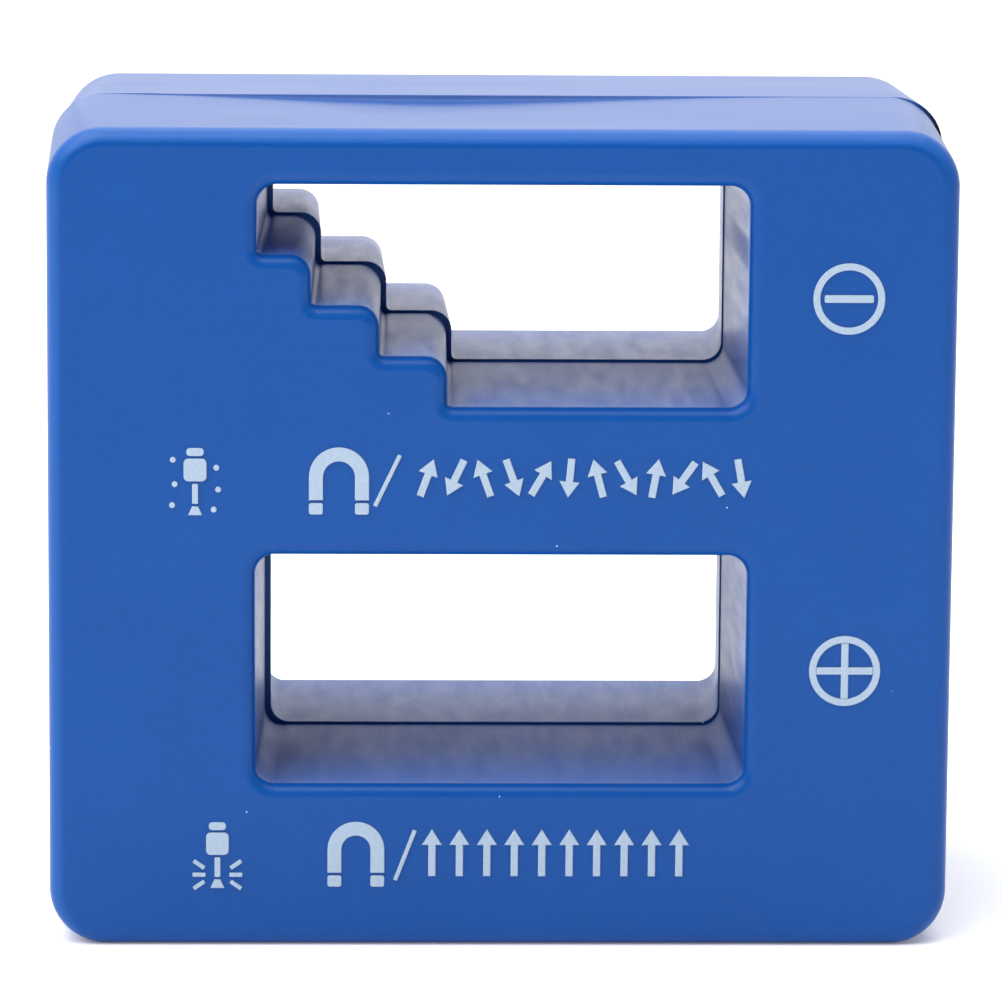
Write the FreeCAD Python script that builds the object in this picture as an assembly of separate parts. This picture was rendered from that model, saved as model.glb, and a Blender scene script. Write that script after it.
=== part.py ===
import FreeCAD, Part
import math
import os

# Magnetizer and demagnetizer block: two moulded half shells, bonded at a mid-depth
# parting line, around two ferrite magnets. Millimetres. X is the width, +Y points from
# the printed face to the back, +Z is up. The origin is on the parting plane, at the
# middle of the base that the block stands on.

# Block
BODY_WIDTH = 52.0
BODY_HEIGHT = 47.3
BODY_DEPTH = 29.0
BODY_DRAFT_DEG = 1.3
BODY_CORNER_RADIUS = 3.2
FRONT_RIM_CORNER_RADIUS = 3.0
REAR_RIM_CORNER_RADIUS = 2.85
FACE_EDGE_RADIUS = 1.0
RIM_EDGE_RADIUS = 0.08
OUTER_WALL = 2.0
BOND_GAP = 0.06
BOND_INSET = 0.6

# Moulding faults: the rear half sits off to the right, and the top of the front rim sags,
# by (x, drop) from right to left
REAR_SHIFT = 0.2
RIM_SAGS = ((9.5, 0.13), (-4.5, 0.42))

# Tunnels, sized where they meet the front face
MAGNETIZE_HALF_WIDTH = 13.96
DEMAGNETIZE_HALF_WIDTH = 13.86
TUNNEL_DRAFT_DEG = 1.65
RIGHT_WALL_DRAFT_DEG = 2.25
TUNNEL_CORNER_RADIUS = 1.1
TUNNEL_LIP_RADIUS = 0.75
TUNNEL_WALL = 1.8
REAR_LEDGE = 0.14
REAR_RIGHT_LEDGE = 0.09
MAGNETIZE_FLOOR = 9.40
MAGNETIZE_HEIGHT = 13.33
DEMAGNETIZE_FLOOR = 31.19
DEMAGNETIZE_HEIGHT = 12.66

# Stair in the demagnetizing tunnel
STEP_COUNT = 3
STEP_RUN = 3.83
STEP_RISE = 2.88
FIRST_RISER_X = -3.15
STEP_DRAFT_DEG = 0.69
STEP_NOSE_RADIUS = 1.2
STEP_INNER_RADIUS = 0.3

# Locating pins: (x, z) of each boss
BOSS_PLACES = ((-21.7, 39.0), (21.7, 39.0), (-9.0, 4.2), (9.0, 4.2), (0.0, 26.95))
BOSS_DIAMETER = 5.0
PIN_DIAMETER = 2.2
PIN_LENGTH = 3.0
PIN_LEAD_IN = 0.4
SOCKET_CLEARANCE = 0.06
SOCKET_DEPTH = 3.5

# Magnets and the cradle ribs that hold them
MAGNET_THICKNESS = 7.5
MAGNET_LENGTH = 24.0
MAGNET_HEIGHT = 20.0
MAGNET_CHAMFER = 0.4
MAGNET_OUTER_GAP = 0.1
MAGNET_END_GAP = 0.05
RIB_THICKNESS = 1.2
RIB_SEAM_GAP = 4.0
ADHESIVE_HEIGHT = 14.0
ADHESIVE_START = 2.0
ADHESIVE_LENGTH = 9.5
ADHESIVE_CORNER_RADIUS = 2.0

# Worked out from the above
FACE_Y = -BODY_DEPTH / 2
SEAM_Y = -BOND_GAP / 2
HALF_WIDTH = BODY_WIDTH / 2
BODY_TAPER = BODY_DEPTH / 2 * math.tan(math.radians(BODY_DRAFT_DEG))
TUNNEL_TAPER = BODY_DEPTH / 2 * math.tan(math.radians(TUNNEL_DRAFT_DEG))
RIGHT_WALL_TAPER = BODY_DEPTH / 2 * math.tan(math.radians(RIGHT_WALL_DRAFT_DEG))
STEP_TAPER = BODY_DEPTH / 2 * math.tan(math.radians(STEP_DRAFT_DEG))
PLATE_Y = FACE_Y + OUTER_WALL
CAVITY_HALF_WIDTH = HALF_WIDTH - OUTER_WALL
SLEEVE_HALF_WIDTH = MAGNETIZE_HALF_WIDTH + TUNNEL_WALL
MAGNET_CENTRE_Z = MAGNETIZE_FLOOR + MAGNETIZE_HEIGHT / 2
MAGNET_FLOOR = MAGNET_CENTRE_Z - MAGNET_HEIGHT / 2
MAGNET_TOP = MAGNET_CENTRE_Z + MAGNET_HEIGHT / 2
MAGNET_OUTER_X = CAVITY_HALF_WIDTH - MAGNET_OUTER_GAP
MAGNET_INNER_X = MAGNET_OUTER_X - MAGNET_THICKNESS
TOLERANCE = 1e-4


def sagging_edge(start, end):
    """Top run of the front rim, a smooth curve that starts and ends along the straight."""
    along = end - start
    points = [start]
    for x, drop in RIM_SAGS:
        points.append(FreeCAD.Vector(x, start.y, start.z - drop))
    points.append(end)
    curve = Part.BSplineCurve()
    curve.interpolate(Points=points, InitialTangent=along, FinalTangent=along)
    return curve.toShape()


def outline(corners, y, sagging=False):
    """Edges in the plane at y, in order, through (x, z, radius) corners with each one rounded."""
    starts = []
    ends = []
    middles = []
    count = len(corners)
    for index, (x, z, radius) in enumerate(corners):
        here = FreeCAD.Vector(x, y, z)
        before = FreeCAD.Vector(corners[index - 1][0], y, corners[index - 1][1])
        after = FreeCAD.Vector(corners[(index + 1) % count][0], y, corners[(index + 1) % count][1])
        back = (before - here).normalize()
        ahead = (after - here).normalize()
        half_angle = back.getAngle(ahead) / 2
        reach = radius / math.tan(half_angle)
        bisector = (back + ahead).normalize()
        starts.append(here + back * reach)
        ends.append(here + ahead * reach)
        middles.append(here + bisector * (radius / math.sin(half_angle) - radius))
    top = max(z for x, z, radius in corners)
    edges = []
    for index in range(count):
        following = (index + 1) % count
        edges.append(Part.Arc(starts[index], middles[index], ends[index]).toShape())
        if sagging and corners[index][1] == corners[following][1] == top:
            edges.append(sagging_edge(ends[index], starts[following]))
        else:
            edges.append(Part.LineSegment(ends[index], starts[following]).toShape())
    return edges


def rectangle(left, right, floor, top, radius):
    """Corners of an upright rectangle, all with one radius."""
    return [(left, floor, radius), (right, floor, radius), (right, top, radius), (left, top, radius)]


def drafted_block(near_edges, far_edges):
    """Solid between two outlines with as many edges: flat walls on straight runs, ruled corners."""
    faces = [Part.Face(Part.Wire(near_edges)), Part.Face(Part.Wire(far_edges))]
    for near, far in zip(near_edges, far_edges):
        if isinstance(near.Curve, Part.Line) and isinstance(far.Curve, Part.Line):
            ring = [near.firstVertex(), near.lastVertex(), far.lastVertex(), far.firstVertex()]
            points = [vertex.Point for vertex in ring]
            faces.append(Part.Face(Part.makePolygon(points + points[:1])))
        else:
            faces.append(Part.makeRuledSurface(near, far))
    skin = Part.makeShell(faces)
    skin.sewShape()
    block = Part.makeSolid(skin)
    if block.Volume < 0:
        block.reverse()
    return block


def straight_block(corners, near_y, far_y):
    """Prism of one outline between two depths."""
    face = Part.Face(Part.Wire(outline(corners, near_y)))
    return face.extrude(FreeCAD.Vector(0, far_y - near_y, 0))


def body_corners(inset, radius, left_tuck=0, right_tuck=0):
    """Outline of the block; the base stays level while the sides and top draw in."""
    left = -HALF_WIDTH + inset + left_tuck
    right = HALF_WIDTH - inset - right_tuck
    return rectangle(left, right, 0, BODY_HEIGHT - inset, radius)


def right_wall(half_width, depth_share, ledge, shift):
    """Place of a tunnel's right wall, which the rear half brings a little inside the front's."""
    taper = RIGHT_WALL_TAPER
    if shift:
        taper += REAR_RIGHT_LEDGE + shift - ledge
    return half_width - depth_share * taper - ledge + shift


def magnetize_corners(depth_share, ledge, shift=0):
    """Outline of the plain lower tunnel; depth_share is 0 at the face and 1 at the seam."""
    inset = depth_share * TUNNEL_TAPER + ledge
    left = -MAGNETIZE_HALF_WIDTH + inset + shift
    right = right_wall(MAGNETIZE_HALF_WIDTH, depth_share, ledge, shift)
    top = MAGNETIZE_FLOOR + MAGNETIZE_HEIGHT - inset
    return rectangle(left, right, MAGNETIZE_FLOOR + inset, top, TUNNEL_CORNER_RADIUS)


def demagnetize_corners(depth_share, ledge, shift=0):
    """Outline of the upper tunnel, with the stair that climbs to its left end."""
    inset = depth_share * TUNNEL_TAPER + ledge
    riser_inset = depth_share * STEP_TAPER + ledge + shift
    left = -DEMAGNETIZE_HALF_WIDTH + inset + shift
    right = right_wall(DEMAGNETIZE_HALF_WIDTH, depth_share, ledge, shift)
    floor = DEMAGNETIZE_FLOOR + inset
    top = DEMAGNETIZE_FLOOR + DEMAGNETIZE_HEIGHT - inset
    corners = [(right, floor, TUNNEL_CORNER_RADIUS), (right, top, TUNNEL_CORNER_RADIUS)]
    corners.append((left, top, TUNNEL_CORNER_RADIUS))
    corners.append((left, floor + STEP_COUNT * STEP_RISE, STEP_INNER_RADIUS))
    for step in range(STEP_COUNT, 0, -1):
        riser_x = FIRST_RISER_X - (step - 1) * STEP_RUN + riser_inset
        corners.append((riser_x, floor + step * STEP_RISE, STEP_NOSE_RADIUS))
        corners.append((riser_x, floor + (step - 1) * STEP_RISE, STEP_INNER_RADIUS))
    return corners


def edges_in_plane(shape, y):
    """Every edge that lies in the plane at y."""
    found = []
    for edge in shape.Edges:
        box = edge.BoundBox
        if abs(box.YMin - y) < TOLERANCE and abs(box.YMax - y) < TOLERANCE:
            found.append(edge)
    return found


def lip_edges(shape):
    """Edges in the front face that go round the tunnels."""
    found = []
    for edge in edges_in_plane(shape, FACE_Y):
        box = edge.BoundBox
        within_x = max(abs(box.XMin), abs(box.XMax)) < SLEEVE_HALF_WIDTH
        within_z = box.ZMin > OUTER_WALL and box.ZMax < BODY_HEIGHT - OUTER_WALL
        if within_x and within_z:
            found.append(edge)
    return found


def outer_block(rim_corners, sagging):
    """Drafted half block with a rounded edge round its face."""
    face = outline(body_corners(BODY_TAPER, BODY_CORNER_RADIUS), FACE_Y)
    rim = outline(rim_corners, SEAM_Y, sagging)
    block = drafted_block(face, rim)
    return block.makeFillet(FACE_EDGE_RADIUS, edges_in_plane(block, FACE_Y))


def cut_tunnels(block, ledge, shift):
    """Both tunnels through one half, narrowing to the seam, with rounded lips and rims."""
    for corners in (magnetize_corners, demagnetize_corners):
        mouth = outline(corners(0, ledge, shift), FACE_Y)
        waist = outline(corners(1, ledge, shift), SEAM_Y)
        block = block.cut(drafted_block(mouth, waist))
    block = block.makeFillet(TUNNEL_LIP_RADIUS, lip_edges(block))
    return block.makeFillet(RIM_EDGE_RADIUS, edges_in_plane(block, SEAM_Y))


def column_rib(side, floor):
    """Rib across one side column, from the face plate towards the seam."""
    width = CAVITY_HALF_WIDTH - SLEEVE_HALF_WIDTH
    left = SLEEVE_HALF_WIDTH if side > 0 else -CAVITY_HALF_WIDTH
    depth = -RIB_SEAM_GAP - PLATE_Y
    return Part.makeBox(width, depth, RIB_THICKNESS, FreeCAD.Vector(left, PLATE_Y, floor))


def cavity():
    """Hollow of one half: everything inside the walls except sleeves, bosses and ribs."""
    inner_radius = BODY_CORNER_RADIUS - OUTER_WALL
    inner = rectangle(
        -CAVITY_HALF_WIDTH, CAVITY_HALF_WIDTH, OUTER_WALL, BODY_HEIGHT - OUTER_WALL, inner_radius
    )
    hollow = straight_block(inner, PLATE_Y, 0)
    kept = [straight_block(magnetize_corners(0, -TUNNEL_WALL), PLATE_Y, 0)]
    kept.append(straight_block(demagnetize_corners(0, -TUNNEL_WALL), PLATE_Y, 0))
    for x, z in BOSS_PLACES:
        kept.append(upright_cylinder(x, z, BOSS_DIAMETER / 2, PLATE_Y, 0))
    for side in (-1, 1):
        kept.append(column_rib(side, MAGNET_FLOOR - MAGNET_END_GAP - RIB_THICKNESS))
        kept.append(column_rib(side, MAGNET_TOP + MAGNET_END_GAP))
    for solid in kept:
        hollow = hollow.cut(solid)
    return hollow


def upright_cylinder(x, z, radius, near_y, far_y):
    """Cylinder whose axis runs along Y."""
    start = FreeCAD.Vector(x, near_y, z)
    return Part.makeCylinder(radius, far_y - near_y, start, FreeCAD.Vector(0, 1, 0))


def locating_pin(x, z):
    """Pin that crosses the seam into the other shell's socket, with a tapered tip."""
    shank = upright_cylinder(x, z, PIN_DIAMETER / 2, SEAM_Y - 1, PIN_LENGTH - PIN_LEAD_IN)
    tip = Part.makeCone(
        PIN_DIAMETER / 2,
        PIN_DIAMETER / 2 - PIN_LEAD_IN,
        PIN_LEAD_IN,
        FreeCAD.Vector(x, PIN_LENGTH - PIN_LEAD_IN, z),
        FreeCAD.Vector(0, 1, 0),
    )
    return shank.fuse(tip)


def front_shell():
    """Printed half, with the locating pins."""
    rim = body_corners(0, FRONT_RIM_CORNER_RADIUS, right_tuck=REAR_SHIFT)
    shell = cut_tunnels(outer_block(rim, True), 0, 0).cut(cavity())
    for x, z in BOSS_PLACES:
        shell = shell.fuse(locating_pin(x, z))
    return shell.removeSplitter()


def rear_shell():
    """Back half: its tunnels are a little smaller and off to the right, with pin sockets."""
    rim = body_corners(0, REAR_RIM_CORNER_RADIUS, left_tuck=REAR_SHIFT)
    shell = cut_tunnels(outer_block(rim, False), REAR_LEDGE, REAR_SHIFT).cut(cavity())
    for x, z in BOSS_PLACES:
        radius = PIN_DIAMETER / 2 + SOCKET_CLEARANCE
        shell = shell.cut(upright_cylinder(x, z, radius, -SOCKET_DEPTH, 0))
    return shell.mirror(FreeCAD.Vector(0, 0, 0), FreeCAD.Vector(0, 1, 0))


def magnet(side):
    """Ferrite block that fills one side column beside the magnetizing tunnel."""
    left = MAGNET_INNER_X if side > 0 else -MAGNET_OUTER_X
    corner = FreeCAD.Vector(left, -MAGNET_LENGTH / 2, MAGNET_FLOOR)
    block = Part.makeBox(MAGNET_THICKNESS, MAGNET_LENGTH, MAGNET_HEIGHT, corner)
    return block.makeChamfer(MAGNET_CHAMFER, block.Edges)


def magnet_adhesive(side):
    """Pad of epoxy between one magnet and the front shell's tunnel sleeve."""
    floor = MAGNET_CENTRE_Z - ADHESIVE_HEIGHT / 2
    near = -ADHESIVE_START - ADHESIVE_LENGTH
    left = SLEEVE_HALF_WIDTH if side > 0 else -MAGNET_INNER_X
    thickness = MAGNET_INNER_X - SLEEVE_HALF_WIDTH
    pad = Part.makeBox(
        thickness, ADHESIVE_LENGTH, ADHESIVE_HEIGHT, FreeCAD.Vector(left, near, floor)
    )
    corner_edges = [edge for edge in pad.Edges if abs(edge.Length - thickness) < TOLERANCE]
    return pad.makeFillet(ADHESIVE_CORNER_RADIUS, corner_edges)


def seam_adhesive():
    """Bond film between the two rims, set back a little from every outer edge."""
    film = straight_block(body_corners(BOND_INSET, BODY_CORNER_RADIUS), SEAM_Y, -SEAM_Y)
    base_strip = Part.makeBox(
        BODY_WIDTH, BODY_DEPTH, BOND_INSET, FreeCAD.Vector(-HALF_WIDTH, FACE_Y, 0)
    )
    film = film.cut(base_strip)
    plain = magnetize_corners(1, -BOND_INSET)
    film = film.cut(straight_block(plain, SEAM_Y, -SEAM_Y))
    stepped = demagnetize_corners(1, -BOND_INSET)
    film = film.cut(straight_block(stepped, SEAM_Y, -SEAM_Y))
    hollow = cavity()
    film = film.cut(hollow)
    film = film.cut(hollow.mirror(FreeCAD.Vector(0, 0, 0), FreeCAD.Vector(0, 1, 0)))
    for x, z in BOSS_PLACES:
        radius = PIN_DIAMETER / 2 + SOCKET_CLEARANCE
        film = film.cut(upright_cylinder(x, z, radius, SEAM_Y, -SEAM_Y))
    return film


nodes = {
    "front_shell": front_shell(),
    "rear_shell": rear_shell(),
    "left_magnet": magnet(-1),
    "right_magnet": magnet(1),
    "left_magnet_adhesive": magnet_adhesive(-1),
    "right_magnet_adhesive": magnet_adhesive(1),
    "seam_adhesive": seam_adhesive(),
}

os.makedirs("parts", exist_ok=True)
for name, shape in nodes.items():
    shape.exportStep(f"parts/{name}.step")
    print(name, shape.isValid(), len(shape.Solids), round(shape.Volume, 1))
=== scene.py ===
import bpy
import bmesh
import math
from mathutils import Matrix, Vector, noise
from mathutils.bvhtree import BVHTree


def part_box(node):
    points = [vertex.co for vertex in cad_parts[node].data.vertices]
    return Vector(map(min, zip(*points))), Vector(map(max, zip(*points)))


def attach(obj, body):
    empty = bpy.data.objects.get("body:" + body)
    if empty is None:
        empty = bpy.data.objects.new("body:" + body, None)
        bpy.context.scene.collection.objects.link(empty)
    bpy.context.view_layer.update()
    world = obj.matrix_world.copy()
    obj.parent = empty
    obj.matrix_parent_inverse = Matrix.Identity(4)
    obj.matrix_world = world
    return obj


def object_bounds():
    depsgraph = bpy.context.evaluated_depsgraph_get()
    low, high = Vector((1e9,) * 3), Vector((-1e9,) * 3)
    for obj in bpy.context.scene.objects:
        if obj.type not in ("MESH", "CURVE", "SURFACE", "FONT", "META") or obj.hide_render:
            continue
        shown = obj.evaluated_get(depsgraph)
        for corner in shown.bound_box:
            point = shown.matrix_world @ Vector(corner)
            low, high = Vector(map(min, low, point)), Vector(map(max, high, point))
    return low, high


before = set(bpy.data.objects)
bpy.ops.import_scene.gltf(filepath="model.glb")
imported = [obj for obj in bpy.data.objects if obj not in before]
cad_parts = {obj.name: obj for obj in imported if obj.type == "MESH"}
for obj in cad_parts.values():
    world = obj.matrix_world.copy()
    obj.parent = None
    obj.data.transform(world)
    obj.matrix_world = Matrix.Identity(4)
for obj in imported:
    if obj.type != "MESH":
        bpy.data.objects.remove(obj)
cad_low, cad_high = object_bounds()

MM = 0.001
BODY = "root"

# The printed face, the parting line and the block's middle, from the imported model
FACE_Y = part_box("front_shell")[0].y
SEAM_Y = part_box("seam_adhesive")[0].y
CENTRE = (cad_low + cad_high) / 2

# Screen print on the face; places are (x, z) in the block's frame
INK_THICKNESS = 0.10 * MM
INK_EDGE = 0.05 * MM
SYMBOL_RADIUS = 2.03 * MM
SYMBOL_STROKE = 0.40 * MM
SYMBOL_SEGMENTS = 96
THIN_STROKE = 0.24 * MM

# Cement bead along the seam's top; the bead is its least height, where the rims are level
CEMENT_START = -23.6 * MM
CEMENT_STEP = 0.4 * MM
CEMENT_STATIONS = 107
CEMENT_BEAD = 0.07 * MM


# ---------------------------------------------------------------- materials


def linear(hex_colour):
    """sRGB hex value to the linear colour that the nodes take."""
    channels = [int(hex_colour[i:i + 2], 16) / 255 for i in (1, 3, 5)]
    return [c / 12.92 if c <= 0.04045 else ((c + 0.055) / 1.055) ** 2.4 for c in channels] + [1.0]


def add(tree, kind, inputs=None, **settings):
    """One node with its settings. An input is a value, a socket, or a node for its main result."""
    made = tree.nodes.new(kind)
    for name, value in settings.items():
        setattr(made, name, value)
    for name, value in (inputs or {}).items():
        if isinstance(value, bpy.types.Node):
            value = next(socket for socket in value.outputs if socket.enabled)
        if isinstance(value, bpy.types.NodeSocket):
            tree.links.new(value, made.inputs[name])
        else:
            made.inputs[name].default_value = value
    return made


def new_material(name):
    """Empty node material, its node tree, and the object coordinates that its patterns read."""
    material = bpy.data.materials.new(name)
    material.use_nodes = True
    tree = material.node_tree
    tree.nodes.clear()
    place = add(tree, "ShaderNodeTexCoord").outputs["Object"]
    return material, tree, place


def band(tree, value, middle, reach, fade):
    """1 where value is within reach of middle, and 0 beyond fade more."""
    offset = add(tree, "ShaderNodeMath", {0: value, 1: middle}, operation="SUBTRACT")
    size = add(tree, "ShaderNodeMath", {0: offset}, operation="ABSOLUTE")
    return add(
        tree,
        "ShaderNodeMapRange",
        {"Value": size, "From Min": reach, "From Max": reach + fade, "To Min": 1.0, "To Max": 0.0},
        interpolation_type="SMOOTHSTEP",
    )


def in_tunnels(tree, parts):
    """1 on the walls of the two tunnels, behind their rounded lips, and 0 outside the block."""
    across = band(tree, parts.outputs["X"], 0.0, 15.0 * MM, 0.5 * MM)
    along = band(tree, parts.outputs["Y"], 0.0, 13.2 * MM, 0.9 * MM)
    up = band(tree, parts.outputs["Z"], CENTRE.z, 21.0 * MM, 1.0 * MM)
    shaft = add(tree, "ShaderNodeMath", {0: across, 1: along}, operation="MULTIPLY")
    return add(tree, "ShaderNodeMath", {0: shaft, 1: up}, operation="MULTIPLY")


def specks(tree, place, spacing, share, size):
    """1 on round specks: a share of the cells, spaced so far apart, each hold one of this size."""
    cells = add(tree, "ShaderNodeTexVoronoi", {"Vector": place, "Scale": 1 / spacing})
    draw = add(tree, "ShaderNodeSeparateColor", {"Color": cells.outputs["Color"]})
    chosen = add(
        tree,
        "ShaderNodeMapRange",
        {"Value": draw.outputs["Red"], "From Min": 1 - share, "From Max": 1 - share + 0.01},
    )
    radius = size / 2 / spacing
    near = add(
        tree,
        "ShaderNodeMapRange",
        {
            "Value": cells.outputs["Distance"],
            "From Min": radius * 0.6,
            "From Max": radius,
            "To Min": 1.0,
            "To Max": 0.0,
        },
    )
    return add(tree, "ShaderNodeMath", {0: chosen, 1: near}, operation="MULTIPLY")


def abs_pigment(tree, place):
    """Moulding blue with a faint flow mottle, broken up by a finer one."""
    flow = add(
        tree, "ShaderNodeTexNoise", {"Vector": place, "Scale": 1 / (7 * MM), "Detail": 3.0}
    )
    swirl = add(
        tree, "ShaderNodeTexNoise", {"Vector": place, "Scale": 1 / (0.35 * MM), "Detail": 3.0}
    )
    fine = add(
        tree,
        "ShaderNodeMapRange",
        {"Value": swirl, "From Min": 0.3, "From Max": 0.7, "To Min": -0.3, "To Max": 0.3},
    )
    mottle = add(tree, "ShaderNodeMath", {0: flow, 1: fine}, operation="ADD", use_clamp=True)
    blues = {"Factor": mottle, 6: linear("#074690"), 7: linear("#0A4B98")}
    return add(tree, "ShaderNodeMix", blues, data_type="RGBA")


def painted_edge_light_plastic(tree, parts, pigment):
    """Pigment drawn paler along the top and left front edges as painted highlights, and paler
    on the top as a painted sheen.
    """
    # painted highlight: the top and left front rounded edges are drawn paler blue
    edge = band(tree, parts.outputs["Y"], -14.0 * MM, 0.42 * MM, 0.07 * MM)
    top_edge = add(
        tree,
        "ShaderNodeMapRange",
        {"Value": parts.outputs["Z"], "From Min": 44 * MM, "From Max": 46 * MM, "To Max": 0.5},
    )
    left_edge = add(
        tree,
        "ShaderNodeMapRange",
        {
            "Value": parts.outputs["X"],
            "From Min": -25.5 * MM,
            "From Max": -24 * MM,
            "To Min": 0.4,
            "To Max": 0.0,
        },
    )
    edge_highlight_reach = add(tree, "ShaderNodeMath", {0: top_edge, 1: left_edge}, operation="MAXIMUM")
    wear_and_edge_highlight = add(tree, "ShaderNodeMath", {0: edge, 1: edge_highlight_reach}, operation="MULTIPLY")
    paler = {"Factor": wear_and_edge_highlight, 6: pigment, 7: linear("#2F66B4")}
    edge_highlighted = add(tree, "ShaderNodeMix", paler, data_type="RGBA")
    # painted sheen: the top surface is drawn a little paler, in place of its low-angle reflection
    top_sheen = add(
        tree,
        "ShaderNodeMapRange",
        {
            "Value": parts.outputs["Z"],
            "From Min": 46.8 * MM,
            "From Max": 46.98 * MM,
            "To Max": 0.055,
        },
    )
    top_sheen_mix = {"Factor": top_sheen, 6: edge_highlighted, 7: linear("#D5DCEB")}
    return add(tree, "ShaderNodeMix", top_sheen_mix, data_type="RGBA")


def low_right_patch(tree, parts):
    """1 low on the right wall of the lower tunnel's front half, where less dust is drawn, so
    darker.
    """
    right = add(
        tree,
        "ShaderNodeMapRange",
        {"Value": parts.outputs["X"], "From Min": 12.7 * MM, "From Max": 13.3 * MM},
    )
    low = band(tree, parts.outputs["Z"], 12.2 * MM, 1.6 * MM, 3.5 * MM)
    front = add(
        tree,
        "ShaderNodeMapRange",
        {
            "Value": parts.outputs["Y"],
            "From Min": -1.0 * MM,
            "From Max": 0.0,
            "To Min": 1.0,
            "To Max": 0.0,
        },
    )
    corner = add(tree, "ShaderNodeMath", {0: right, 1: low}, operation="MULTIPLY")
    return add(tree, "ShaderNodeMath", {0: corner, 1: front}, operation="MULTIPLY")


def tunnel_dust_and_shade(tree, place, parts, inside, grit):
    """How much dust is rubbed into the tunnel walls: clouded and grainy, less on the low right
    patch, and less at the waist as painted shade, which leaves the tunnels' middles darker."""
    cloud = add(
        tree, "ShaderNodeTexNoise", {"Vector": place, "Scale": 1 / (5 * MM), "Detail": 3.0}
    )
    clouded = add(
        tree,
        "ShaderNodeMapRange",
        {"Value": cloud, "From Min": 0.35, "From Max": 0.65, "To Min": 0.85, "To Max": 0.95},
    )
    grainy = add(
        tree,
        "ShaderNodeMapRange",
        {"Value": grit, "From Min": 0.3, "From Max": 0.7, "To Min": 0.42, "To Max": 0.86},
    )
    # painted shade: less dust in the tunnels' middle leaves them darker there
    waist = band(tree, parts.outputs["Y"], 0.0, 0.5 * MM, 7 * MM)
    waist_shade = add(tree, "ShaderNodeMapRange", {"Value": waist, "To Min": 1.0, "To Max": 0.75})
    patch = low_right_patch(tree, parts)
    patch_thinning = add(tree, "ShaderNodeMapRange", {"Value": patch, "To Min": 1.0, "To Max": 0.15})
    settled_dust_and_shade = inside
    for share in (clouded, grainy, waist_shade, patch_thinning):
        settled_dust_and_shade = add(tree, "ShaderNodeMath", {0: settled_dust_and_shade, 1: share}, operation="MULTIPLY")
    return settled_dust_and_shade


def dust_and_sheen_colour(tree, parts):
    """Dust blue at the front and paler to the back and up the stair: the paler rear and upper
    tones are painted reflection of the light behind the block.
    """
    rearward = add(
        tree,
        "ShaderNodeMapRange",
        {"Value": parts.outputs["Y"], "From Min": -9 * MM, "From Max": 9 * MM},
    )
    upward = add(
        tree,
        "ShaderNodeMapRange",
        {"Value": parts.outputs["Z"], "From Min": 30 * MM, "From Max": 36 * MM},
    )
    # painted reflection: the dust is drawn paler to the rear and up the stair
    rear = {"Factor": upward, 6: linear("#6584C4"), 7: linear("#B9C2EC")}
    rear_dust_and_sheen = add(tree, "ShaderNodeMix", rear, data_type="RGBA")
    dust = {"Factor": rearward, 6: linear("#4A6BAE"), 7: rear_dust_and_sheen}
    return add(tree, "ShaderNodeMix", dust, data_type="RGBA")


def seam_shade_and_crumbs(tree, place, parts, inside, under):
    """Painted shade along the open seam in the tunnels, crumbs caught on it, and painted shadow
    in the gap where the rear rim stands out at the right."""
    depth = parts.outputs["Y"]
    seam = band(tree, depth, 0.0, 0.06 * MM, 0.06 * MM)
    tunnel_seam = add(tree, "ShaderNodeMath", {0: inside, 1: seam}, operation="MULTIPLY")
    # painted shade: a darker line along the seam in the tunnels
    seam_shade = {"Factor": tunnel_seam, 6: under, 7: linear("#17508F")}
    seam_shaded = add(tree, "ShaderNodeMix", seam_shade, data_type="RGBA")
    # painted shadow: near black in the seam's gap at the right end
    right_end_ramp = add(
        tree,
        "ShaderNodeMapRange",
        {"Value": parts.outputs["X"], "From Min": 24.2 * MM, "From Max": 25.6 * MM},
    )
    gap = add(tree, "ShaderNodeMath", {0: right_end_ramp, 1: seam}, operation="MULTIPLY")
    shade = {"Factor": gap, 6: seam_shaded, 7: linear("#0C1222")}
    shadowed = add(tree, "ShaderNodeMix", shade, data_type="RGBA")
    crumbs = specks(tree, place, 0.5 * MM, 0.22, 0.14 * MM)
    near_seam = band(tree, depth, 0.05 * MM, 0.1 * MM, 0.1 * MM)
    loose = add(tree, "ShaderNodeMath", {0: inside, 1: crumbs}, operation="MULTIPLY")
    caught = add(tree, "ShaderNodeMath", {0: loose, 1: near_seam}, operation="MULTIPLY")
    crumb = {"Factor": caught, 6: shadowed, 7: linear("#E4E7F0")}
    return add(tree, "ShaderNodeMix", crumb, data_type="RGBA")


def outside_gloss(tree, place):
    """Roughness of the satin outside, with broad dry smears."""
    squeeze = (1 / (9 * MM), 1 / (5 * MM), 1 / (9 * MM))
    wide = add(tree, "ShaderNodeMapping", {"Vector": place, "Scale": squeeze})
    smear = add(tree, "ShaderNodeTexNoise", {"Vector": wide, "Scale": 1.0, "Detail": 1.0})
    return add(tree, "ShaderNodeMapRange", {"Value": smear, "To Min": 0.27, "To Max": 0.33})


def floor_wear(tree, parts):
    """How much blades have dulled the floors: most at the front, least on the upper floor."""
    up = parts.outputs["Z"]
    low_floor = band(tree, up, 9.6 * MM, 0.9 * MM, 0.6 * MM)
    top_step = band(tree, up, 39.9 * MM, 0.6 * MM, 0.5 * MM)
    high_floor = band(tree, up, 31.5 * MM, 0.8 * MM, 0.6 * MM)
    faint = add(tree, "ShaderNodeMath", {0: high_floor, 1: 0.45}, operation="MULTIPLY")
    outer = add(tree, "ShaderNodeMath", {0: low_floor, 1: top_step}, operation="MAXIMUM")
    floors = add(tree, "ShaderNodeMath", {0: outer, 1: faint}, operation="MAXIMUM")
    frontward = add(
        tree,
        "ShaderNodeMapRange",
        {
            "Value": parts.outputs["Y"],
            "From Min": -12 * MM,
            "From Max": 6 * MM,
            "To Min": 0.16,
            "To Max": 0.0,
        },
    )
    return add(tree, "ShaderNodeMath", {0: floors, 1: frontward}, operation="MULTIPLY")


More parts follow.
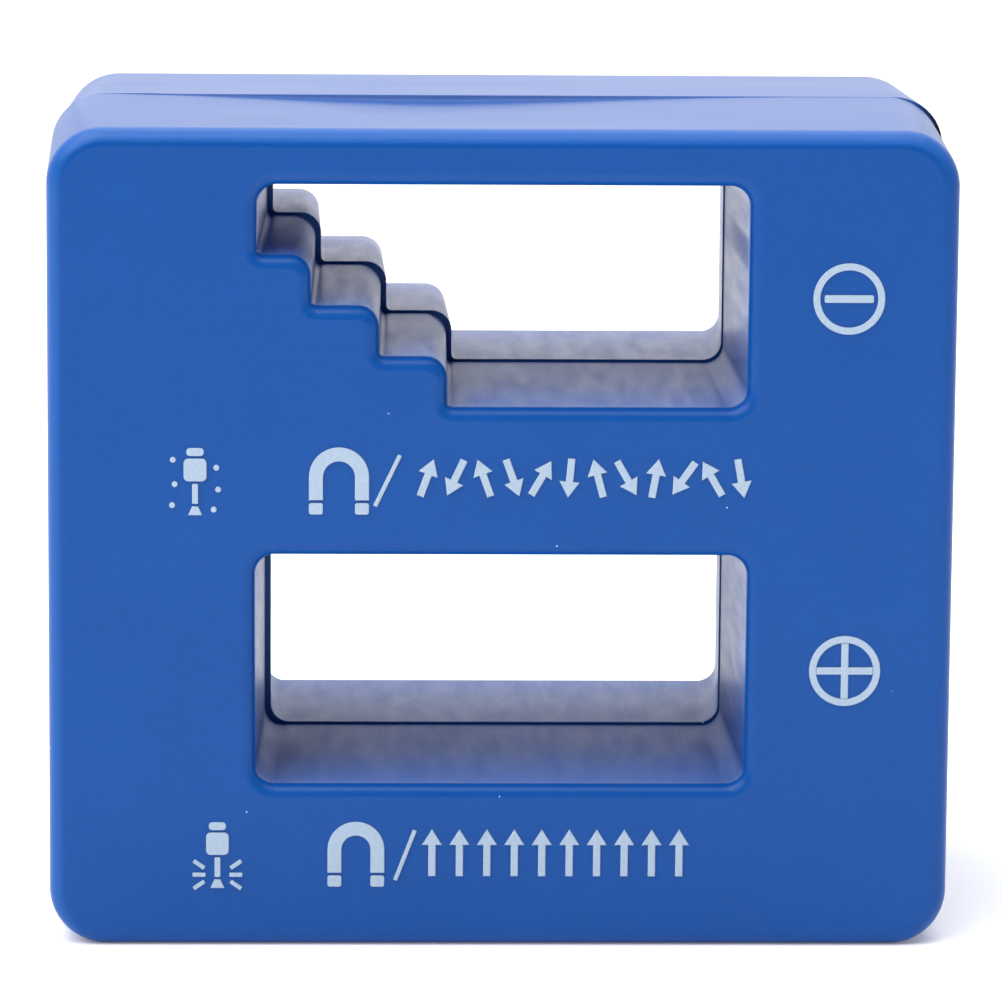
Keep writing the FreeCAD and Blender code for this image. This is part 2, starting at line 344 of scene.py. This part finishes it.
def tunnel_gloss(tree, place, parts):
    """Roughness in the tunnels: scuffed lengthwise, duller in the lower one and on worn floors."""
    squeeze = (1 / (0.9 * MM), 1 / (5 * MM), 1 / (0.9 * MM))
    lengthwise = add(tree, "ShaderNodeMapping", {"Vector": place, "Scale": squeeze})
    rub = add(tree, "ShaderNodeTexNoise", {"Vector": lengthwise, "Scale": 1.0, "Detail": 3.0})
    scuffed = add(
        tree,
        "ShaderNodeMapRange",
        {"Value": rub, "From Min": 0.3, "From Max": 0.7, "To Min": 0.28, "To Max": 0.37},
    )
    lower = add(
        tree,
        "ShaderNodeMapRange",
        {
            "Value": parts.outputs["Z"],
            "From Min": 22 * MM,
            "From Max": 26 * MM,
            "To Min": 0.05,
            "To Max": 0.0,
        },
    )
    dull = add(tree, "ShaderNodeMath", {0: scuffed, 1: lower}, operation="ADD")
    wear_and_edge_highlight = floor_wear(tree, parts)
    return add(tree, "ShaderNodeMath", {0: dull, 1: wear_and_edge_highlight}, operation="ADD")


def moulded_abs():
    """Blue ABS from a polished mould: a satin gloss that goes pale at a low angle, a faint flow
    mottle, a few specks of dust, and tunnels scuffed dull by blades, with fine grey iron dust
    rubbed in, paler to the back as painted reflection and thinner midway as painted shade, and a
    dark line of painted shade along the open seam. The dust's grit is drawn coarser than it is,
    so that it shows. The IOR is under the usual 1.54, which makes the face too pale."""
    material, tree, place = new_material("moulded_abs_blue")
    parts = add(tree, "ShaderNodeSeparateXYZ", {"Vector": place})
    inside = in_tunnels(tree, parts)
    grit = add(
        tree, "ShaderNodeTexNoise", {"Vector": place, "Scale": 1 / (0.17 * MM), "Detail": 2.0}
    )
    plastic = painted_edge_light_plastic(tree, parts, abs_pigment(tree, place))
    # dust amount in the tunnels, with painted shade in their middles
    settled_dust_and_shade = tunnel_dust_and_shade(tree, place, parts, inside, grit)
    dust = {"Factor": settled_dust_and_shade, 6: plastic, 7: dust_and_sheen_colour(tree, parts)}
    dust_and_painted_light = add(tree, "ShaderNodeMix", dust, data_type="RGBA")
    fleck = specks(tree, place, 1.6 * MM, 0.06, 0.13 * MM)
    flecks = {"Factor": fleck, 6: dust_and_painted_light, 7: linear("#A9C2EA")}
    flecked = add(tree, "ShaderNodeMix", flecks, data_type="RGBA")
    levels = {
        "Factor": inside,
        2: outside_gloss(tree, place),
        3: tunnel_gloss(tree, place, parts),
    }
    rough = add(tree, "ShaderNodeMath", {0: grit, 1: inside}, operation="MULTIPLY")
    scuffs = add(tree, "ShaderNodeBump", {"Height": rough, "Strength": 0.3, "Distance": 0.01 * MM})
    shader = add(
        tree,
        "ShaderNodeBsdfPrincipled",
        {
            "Base Color": seam_shade_and_crumbs(tree, place, parts, inside, flecked),
            "Roughness": add(tree, "ShaderNodeMix", levels, data_type="FLOAT"),
            "IOR": 1.28,
            "Normal": scuffs,
        },
    )
    add(tree, "ShaderNodeOutputMaterial", {"Surface": shader})
    return material


def screen_ink():
    """Screen-printed ink: a raised pale film, matt, a little uneven where the mesh pulled off."""
    material, tree, place = new_material("screen_printed_ink")
    cloud = add(
        tree, "ShaderNodeTexNoise", {"Vector": place, "Scale": 1 / (0.2 * MM), "Detail": 2.0}
    )
    cover = {"Factor": cloud, 6: linear("#90A7C0"), 7: linear("#AEBFD0")}
    mesh_marks = add(
        tree, "ShaderNodeTexNoise", {"Vector": place, "Scale": 1 / (0.12 * MM), "Detail": 2.0}
    )
    relief = {"Height": mesh_marks, "Strength": 0.3, "Distance": 0.01 * MM}
    shader = add(
        tree,
        "ShaderNodeBsdfPrincipled",
        {
            "Base Color": add(tree, "ShaderNodeMix", cover, data_type="RGBA"),
            "Roughness": 0.45,
            "IOR": 1.48,
            "Normal": add(tree, "ShaderNodeBump", relief),
        },
    )
    add(tree, "ShaderNodeOutputMaterial", {"Surface": shader})
    return material


def sintered_ferrite():
    """Pressed and sintered ferrite, ground on its faces: dark grey, fine grained, dull."""
    material, tree, place = new_material("sintered_ferrite")
    crystal = add(
        tree, "ShaderNodeTexNoise", {"Vector": place, "Scale": 1 / (0.3 * MM), "Detail": 6.0}
    )
    greys = {"Factor": crystal, 6: linear("#2A2A2C"), 7: linear("#47474A")}
    pits = {"Height": crystal, "Strength": 0.5, "Distance": 0.02 * MM}
    shader = add(
        tree,
        "ShaderNodeBsdfPrincipled",
        {
            "Base Color": add(tree, "ShaderNodeMix", greys, data_type="RGBA"),
            "Roughness": 0.6,
            "IOR": 2.0,
            "Normal": add(tree, "ShaderNodeBump", pits),
        },
    )
    add(tree, "ShaderNodeOutputMaterial", {"Surface": shader})
    return material


def cured_adhesive(name, thin, thick, roughness):
    """Cured epoxy or solvent cement: slightly clouded, its colour varying with its thickness."""
    material, tree, place = new_material(name)
    cloud = add(
        tree, "ShaderNodeTexNoise", {"Vector": place, "Scale": 1 / (1.5 * MM), "Detail": 3.0}
    )
    tones = {"Factor": cloud, 6: linear(thin), 7: linear(thick)}
    tone = add(tree, "ShaderNodeMix", tones, data_type="RGBA")
    shader = add(
        tree,
        "ShaderNodeBsdfPrincipled",
        {"Base Color": tone, "Roughness": roughness, "IOR": 1.4},
    )
    add(tree, "ShaderNodeOutputMaterial", {"Surface": shader})
    return material


def white_board():
    """White card on a light table: matt with a faint fibre tone, and a faint glow from below."""
    material, tree, place = new_material("white_card")
    fibre = add(
        tree, "ShaderNodeTexNoise", {"Vector": place, "Scale": 1 / (4 * MM), "Detail": 3.0}
    )
    whites = {"Factor": fibre, 6: linear("#FAFAFB"), 7: linear("#FDFDFD")}
    tone = add(tree, "ShaderNodeMix", whites, data_type="RGBA")
    shader = add(
        tree,
        "ShaderNodeBsdfPrincipled",
        {"Base Color": tone, "Roughness": 0.9, "Emission Color": tone, "Emission Strength": 0.12},
    )
    add(tree, "ShaderNodeOutputMaterial", {"Surface": shader})
    return material


# ---------------------------------------------------------------- printed marks


def flat_shape(bm, points, centre=(0.0, 0.0), angle=0.0):
    """One flat face through a few points, turned about its own origin and put at centre."""
    corners = [bm.verts.new((x, y, 0)) for x, y in points]
    bm.faces.new(corners)
    place = Matrix.Translation((centre[0], centre[1], 0)) @ Matrix.Rotation(angle, 4, "Z")
    bmesh.ops.transform(bm, matrix=place, verts=corners)


def ring(bm, centre, radius, stroke):
    """Flat ring: a disc, inset by the stroke, with its middle taken out."""
    place = Matrix.Translation((centre[0], centre[1], 0))
    made = bmesh.ops.create_circle(
        bm, cap_ends=True, radius=radius, segments=SYMBOL_SEGMENTS, matrix=place
    )
    disc = made["verts"][0].link_faces[0]
    bmesh.ops.inset_region(bm, faces=[disc], thickness=stroke, use_boundary=True)
    bmesh.ops.delete(bm, geom=[disc], context="FACES_ONLY")


def bar(bm, centre, length, width, angle=0.0):
    """Flat bar with slightly rounded corners."""
    place = Matrix.Translation((centre[0], centre[1], 0)) @ Matrix.Rotation(angle, 4, "Z")
    place = place @ Matrix.Diagonal((length, width, 1, 1))
    made = bmesh.ops.create_grid(bm, x_segments=1, y_segments=1, size=0.5, matrix=place)
    bmesh.ops.bevel(
        bm,
        geom=made["verts"],
        offset=width * 0.2,
        affect="VERTICES",
        segments=3,
        profile=0.5,
        material=-1,
    )


def dot(bm, centre, radius):
    """Small flat disc."""
    place = Matrix.Translation((centre[0], centre[1], 0))
    bmesh.ops.create_circle(bm, cap_ends=True, radius=radius, segments=20, matrix=place)


def arrow(bm, centre, length, head_width, stroke, angle):
    """Flat arrow about its middle, pointing along +X before it is turned."""
    tip = length / 2
    neck = tip - head_width * 0.8
    points = [
        (-tip, -stroke / 2),
        (neck, -stroke / 2),
        (neck, -head_width / 2),
        (tip, 0.0),
        (neck, head_width / 2),
        (neck, stroke / 2),
        (-tip, stroke / 2),
    ]
    flat_shape(bm, points, centre, angle)


def horseshoe(bm, centre, width, leg, leg_length):
    """Flat horseshoe about the middle of its bend: a half ring, with a leg drawn down each end."""
    x, z = centre
    ends = [bm.verts.new((x + reach, z, 0)) for reach in (width / 2 - leg, width / 2)]
    start = bm.edges.new(ends)
    bend = bmesh.ops.spin(
        bm, geom=ends + [start], cent=(x, z, 0), axis=(0, 0, 1), angle=math.pi, steps=24
    )
    last = [item for item in bend["geom_last"] if isinstance(item, bmesh.types.BMEdge)]
    legs = bmesh.ops.extrude_edge_only(bm, edges=[start] + last)["geom"]
    feet = [item for item in legs if isinstance(item, bmesh.types.BMVert)]
    bmesh.ops.translate(bm, verts=feet, vec=(0, -leg_length, 0))


def print_piece(name, bm, ink):
    """Lifts flat print off the drawing plane on to the face as a thin closed film."""
    faces = list(bm.faces)
    grown = bmesh.ops.extrude_face_region(bm, geom=faces)
    lifted = [item for item in grown["geom"] if isinstance(item, bmesh.types.BMVert)]
    bmesh.ops.translate(bm, verts=lifted, vec=(0, 0, INK_THICKNESS))
    upper = [edge for edge in bm.edges if min(vert.co.z for vert in edge.verts) > 0]
    rim = [edge for edge in upper if edge.calc_face_angle(0) > 1]
    bmesh.ops.bevel(
        bm, geom=rim, offset=INK_EDGE, affect="EDGES", segments=2, profile=0.5, material=-1
    )
    stand = Matrix.Translation((0, FACE_Y, 0)) @ Matrix.Rotation(math.pi / 2, 4, "X")
    bmesh.ops.transform(bm, matrix=stand, verts=bm.verts)
    bmesh.ops.recalc_face_normals(bm, faces=bm.faces)
    return finished_piece(name, bm, ink)


def finished_piece(name, bm, material):
    """Turns a bmesh into a named piece of the block."""
    mesh = bpy.data.meshes.new(name)
    bm.to_mesh(mesh)
    bm.free()
    piece = bpy.data.objects.new(name, mesh)
    bpy.context.scene.collection.objects.link(piece)
    piece.data.materials.append(material)
    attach(piece, BODY)
    return piece


def minus_symbol(ink):
    """Ring with a short bar: the demagnetizing tunnel's mark."""
    bm = bmesh.new()
    centre = (19.47 * MM, 37.54 * MM)
    ring(bm, centre, SYMBOL_RADIUS, SYMBOL_STROKE)
    bar(bm, centre, 2.78 * MM, 0.44 * MM)
    print_piece("minus_symbol", bm, ink)


def plus_symbol(ink):
    """Ring crossed by a plus that reaches it: the magnetizing tunnel's mark."""
    bm = bmesh.new()
    centre = (19.58 * MM, 16.15 * MM)
    ring(bm, centre, SYMBOL_RADIUS, SYMBOL_STROKE)
    half = 0.21 * MM
    reach = math.sqrt((SYMBOL_RADIUS - SYMBOL_STROKE) ** 2 - half**2)
    arm = [(half, half), (half, reach), (-half, reach)]
    points = []
    for quarter in range(4):
        turn = Matrix.Rotation(quarter * math.pi / 2, 2)
        points += [tuple(turn @ Vector(point)) for point in arm]
    flat_shape(bm, points, centre)
    print_piece("plus_symbol", bm, ink)


def screwdriver(bm, centre, height):
    """Flat screwdriver that stands on its blade: handle in two parts, shank and flared tip."""
    x, z = centre
    top = z + height / 2
    gap = 0.14 * MM
    cap = height * 0.12
    handle = height * 0.34
    shank = height * 0.30
    bar(bm, (x, top - cap / 2), cap, 1.0 * MM, math.pi / 2)
    handle_top = top - cap - gap
    bar(bm, (x, handle_top - handle / 2), handle, 1.3 * MM, math.pi / 2)
    shank_top = handle_top - handle - gap
    bar(bm, (x, shank_top - shank / 2), shank, 0.34 * MM, math.pi / 2)
    tip_top = shank_top - shank - gap
    foot = z - height / 2
    blade = 0.40 * MM
    neck = 0.17 * MM
    flat_shape(bm, [(x - blade, foot), (x + blade, foot), (x + neck, tip_top), (x - neck, tip_top)])


def magnet_sign(bm, centre, width, height):
    """Horseshoe magnet with its poles down; the pole tips are set off by a gap."""
    x, z = centre
    leg = 0.80 * MM
    pole = 0.66 * MM
    gap = 0.16 * MM
    crown = z + height / 2 - width / 2
    foot = z - height / 2
    horseshoe(bm, (x, crown), width, leg, crown - foot - pole - gap)
    for side in (-1, 1):
        bar(bm, (x + side * (width - leg) / 2, foot + pole / 2), leg, pole)


def demagnetize_legend(ink):
    """Screwdriver with loose filings, a magnet, a slash, and arrows that point up and down."""
    bm = bmesh.new()
    middle = (-17.34 * MM, 26.99 * MM)
    screwdriver(bm, middle, 3.85 * MM)
    filings = ((-1.25, 1.25), (1.2, 0.8), (-1.15, -0.15), (1.3, -0.45), (-1.3, -1.35), (1.05, -1.6))
    for x, z in filings:
        dot(bm, (middle[0] + x * MM, middle[1] + z * MM), 0.17 * MM)
    magnet_sign(bm, (-9.22 * MM, 27.05 * MM), 3.40 * MM, 3.85 * MM)
    slash(bm, (-7.18 * MM, 25.61 * MM), (-5.78 * MM, 28.54 * MM))
    pitch = 1.615 * MM
    turns = (70, 245, 110, 290, 60, 265, 105, 300, 80, 235, 120, 280)
    for index, turn in enumerate(turns):
        centre = (-4.25 * MM + index * pitch, 27.25 * MM)
        arrow(bm, centre, 2.25 * MM, 1.15 * MM, 0.42 * MM, math.radians(turn))
    print_piece("demagnetize_legend", bm, ink)


def magnetize_legend(ink):
    """Screwdriver with field strokes round its blade, a magnet, a slash, and arrows all one way."""
    bm = bmesh.new()
    middle = (-16.09 * MM, 5.34 * MM)
    screwdriver(bm, middle, 3.85 * MM)
    for side in (-1, 1):
        for height, tilt in ((-0.55, 35), (-1.15, 0), (-1.75, -35)):
            centre = (middle[0] + side * 1.05 * MM, middle[1] + height * MM)
            bar(bm, centre, 0.75 * MM, THIN_STROKE, math.radians(side * tilt))
    magnet_sign(bm, (-8.19 * MM, 5.40 * MM), 3.25 * MM, 3.80 * MM)
    slash(bm, (-5.95 * MM, 3.88 * MM), (-4.83 * MM, 6.82 * MM))
    pitch = 1.57 * MM
    for index in range(10):
        centre = (-3.85 * MM + index * pitch, 5.50 * MM)
        arrow(bm, centre, 2.75 * MM, 1.15 * MM, 0.42 * MM, math.pi / 2)
    print_piece("magnetize_legend", bm, ink)


def slash(bm, foot, head):
    """Thin slanted stroke between two points."""
    across = head[0] - foot[0]
    up = head[1] - foot[1]
    centre = ((foot[0] + head[0]) / 2, (foot[1] + head[1]) / 2)
    bar(bm, centre, math.hypot(across, up), THIN_STROKE, math.atan2(up, across))


# ---------------------------------------------------------------- seam cement


def shell_skin(node):
    """Search tree on a shell's surface."""
    bm = bmesh.new()
    bm.from_mesh(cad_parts[node].data)
    skin = BVHTree.FromBMesh(bm)
    bm.free()
    return skin


def top_of(skin, x, y):
    """Height of a shell's top at (x, y)."""
    return skin.ray_cast(Vector((x, y, cad_high.z + 5 * MM)), Vector((0, 0, -1)))[0].z


def fillet_section(bm):
    """Flat section of the fillet at unit size: a corner with a hollow quarter round across it."""
    arc = [math.radians(angle) for angle in range(0, 91, 15)]
    profile = [(0.0, 0.0)] + [(math.sin(angle) - 1, 1 - math.cos(angle)) for angle in arc]
    return bm.faces.new([bm.verts.new((0, y, z)) for y, z in profile])


def fillet_station(front, rear, index):
    """Corner, width and height of the fillet at one station; it thins out towards both ends."""
    x = CEMENT_START + index * CEMENT_STEP
    base = top_of(front, x, -0.15 * MM)
    drop = top_of(rear, x, 0.15 * MM) - base
    ripple = 1 + 0.12 * noise.noise(Vector((x / (4 * MM), 0, 0)))
    bead = CEMENT_BEAD * min(1.0, (index + 1) / 9, (CEMENT_STATIONS - index) / 18)
    height = max(drop - 0.03 * MM, bead) * min(ripple, 1.0)
    width = (0.1 * MM + 1.4 * height) * ripple
    return Vector((x, SEAM_Y + 0.03 * MM, base - 0.01 * MM)), width, height


def grown_end(bm, end, keep):
    """Extrudes the fillet's end face and gives the new one; the old stays only as its outer end."""
    grown = bmesh.ops.extrude_face_region(bm, geom=[end])["geom"]
    if not keep:
        bmesh.ops.delete(bm, geom=[end], context="FACES_ONLY")
    return [item for item in grown if isinstance(item, bmesh.types.BMFace)][0]


def cement_fillet(cement):
    """Cement that welled up where the front rim sags: a hollow fillet against the rear rim."""
    front = shell_skin("front_shell")
    rear = shell_skin("rear_shell")
    bm = bmesh.new()
    end = fillet_section(bm)
    width = 1.0
    height = 1.0
    corner = Vector((0, 0, 0))
    for index in range(CEMENT_STATIONS):
        target, new_width, new_height = fillet_station(front, rear, index)
        if index:
            end = grown_end(bm, end, keep=index == 1)
        moving = list(end.verts)
        spread = (1, new_width / width, new_height / height)
        bmesh.ops.scale(bm, vec=spread, space=Matrix.Translation(-corner), verts=moving)
        bmesh.ops.translate(bm, verts=moving, vec=target - corner)
        corner = target
        width = new_width
        height = new_height
    bmesh.ops.recalc_face_normals(bm, faces=bm.faces)
    bm.normal_update()
    for face in bm.faces:
        hollow = face.normal.y < 0.5 and face.normal.z > -0.5
        face.smooth = hollow and len(face.verts) == 4
    finished_piece("cement_fillet", bm, cement)


# ---------------------------------------------------------------- staging


def paint_node(name, material):
    """Gives a CAD node its finish."""
    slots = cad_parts[name].data.materials
    slots.clear()
    slots.append(material)


def make_floor():
    """Pale board under the block."""
    bm = bmesh.new()
    bmesh.ops.create_grid(bm, x_segments=1, y_segments=1, size=1.5)
    mesh = bpy.data.meshes.new("floor")
    bm.to_mesh(mesh)
    bm.free()
    floor = bpy.data.objects.new("floor", mesh)
    bpy.context.scene.collection.objects.link(floor)
    floor.data.materials.append(white_board())


def make_camera():
    """Long lens, a little above the block and a touch to its left."""
    distance = 361.25 * MM
    azimuth, elevation, roll = (math.radians(angle) for angle in (-1.617, 10.254, 0.453))
    aim = CENTRE + Vector((0.54 * MM, 0, -0.04 * MM))
    back = Vector(
        (
            math.sin(azimuth) * math.cos(elevation),
            -math.cos(azimuth) * math.cos(elevation),
            math.sin(elevation),
        )
    )
    data = bpy.data.cameras.new("camera")
    data.lens = 220.4
    data.sensor_width = 36.0
    data.shift_x = -0.0039
    data.shift_y = -0.0049
    data.clip_start = 0.01
    data.clip_end = 10.0
    camera = bpy.data.objects.new("camera", data)
    turn = (-back).to_track_quat("-Z", "Y").to_matrix().to_4x4()
    place = Matrix.Translation(aim + back * distance)
    camera.matrix_world = place @ turn @ Matrix.Rotation(roll, 4, "Z")
    bpy.context.scene.collection.objects.link(camera)
    bpy.context.scene.camera = camera


def softbox(name, place, size, power):
    """Square area light aimed at the block's middle."""
    data = bpy.data.lights.new(name, "AREA")
    data.size = size
    data.energy = power
    light = bpy.data.objects.new(name, data)
    turn = (CENTRE - Vector(place)).to_track_quat("-Z", "Y").to_matrix().to_4x4()
    light.matrix_world = Matrix.Translation(place) @ turn
    bpy.context.scene.collection.objects.link(light)


def make_light():
    """White surround behind and above, dimmer on the camera's side, and two softboxes."""
    world = bpy.data.worlds.new("studio")
    bpy.context.scene.world = world
    world.use_nodes = True
    tree = world.node_tree
    tree.nodes.clear()
    direction = add(tree, "ShaderNodeTexCoord").outputs["Generated"]
    parts = add(tree, "ShaderNodeSeparateXYZ", {"Vector": direction})
    level = add(
        tree,
        "ShaderNodeMapRange",
        {
            "Value": parts.outputs["Y"],
            "From Min": -0.6,
            "From Max": 0.5,
            "To Min": 0.15,
            "To Max": 1.28,
        },
    )
    glow = add(tree, "ShaderNodeBackground", {"Color": (1, 1, 1, 1), "Strength": level})
    add(tree, "ShaderNodeOutputWorld", {"Surface": glow})
    softbox("key", (-0.30, -0.26, 0.50), 0.60, 3.6)
    softbox("overhead", (0.0, -0.02, 0.52), 0.60, 2.2)
    bpy.context.scene.view_settings.view_transform = "Standard"


make_camera()
make_light()
make_floor()

abs_blue = moulded_abs()
ferrite = sintered_ferrite()
amber = cured_adhesive("cured_epoxy_amber", "#C9A868", "#B58A45", 0.2)
stained = cured_adhesive("solvent_cement_blue", "#0C4188", "#144C97", 0.42)
pale_ink = screen_ink()
paint_node("front_shell", abs_blue)
paint_node("rear_shell", abs_blue)
paint_node("left_magnet", ferrite)
paint_node("right_magnet", ferrite)
paint_node("left_magnet_adhesive", amber)
paint_node("right_magnet_adhesive", amber)
paint_node("seam_adhesive", stained)
minus_symbol(pale_ink)
plus_symbol(pale_ink)
demagnetize_legend(pale_ink)
magnetize_legend(pale_ink)
cement_fillet(stained)
